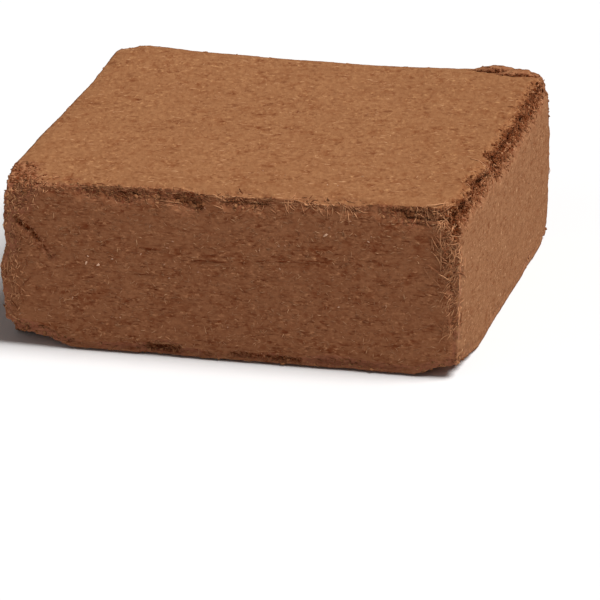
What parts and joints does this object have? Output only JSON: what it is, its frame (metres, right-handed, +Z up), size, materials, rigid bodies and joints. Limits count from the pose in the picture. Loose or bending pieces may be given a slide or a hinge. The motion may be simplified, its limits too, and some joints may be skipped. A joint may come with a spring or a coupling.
{
  "type": "coconut coir bale",
  "caption": "Square block of dry coconut pith and short fibre, pressed flat, with torn upper rims and broken corners. Soaked in water it swells into a growing medium.",
  "frame": {"origin": "middle of the underside, where the bale rests", "axes": "+Z up, along the bale's height; +X to the right along the front face; -Y is the front face, the one seen broadside in the picture, and +X is the face whose upper rim is hollowed"},
  "size_m": [0.3051, 0.3058, 0.1235],
  "materials": {
    "pressed_coir": "dry pressed pith and short fibre: dull, matted and brown, laminated on its sides, torn and fibrous along the upper rims"
  },
  "bodies": {
    "root": {"coir_bale": "pressed_coir"}
  },
  "joints": []
}
